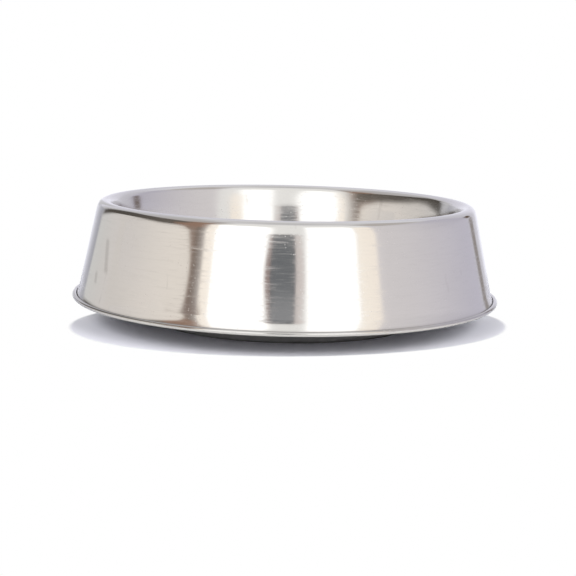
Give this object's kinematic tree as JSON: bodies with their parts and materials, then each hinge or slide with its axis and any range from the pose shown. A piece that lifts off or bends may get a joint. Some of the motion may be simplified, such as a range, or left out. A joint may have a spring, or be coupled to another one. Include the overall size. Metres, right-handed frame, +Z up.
{
  "type": "pet feeding bowl",
  "caption": "Round non-tip steel feeding bowl: a drawn pan with a rolled rim and a wide spreading skirt with a beaded foot, standing on a bonded rubber ring.",
  "frame": {"origin": "on the bowl's axis, on the surface it stands on", "axes": "+Z up along the bowl's axis of revolution, towards the rim; +X and +Y are any two square directions"},
  "size_m": [0.25, 0.25, 0.0692],
  "materials": {
    "polished_steel": "polished",
    "foot_rubber": "matte",
    "adhesive": "satin"
  },
  "bodies": {
    "root": {"feeding_pan": "polished_steel", "outer_skirt": "polished_steel", "foot_ring": "foot_rubber", "bond_ring": "adhesive"}
  },
  "joints": []
}
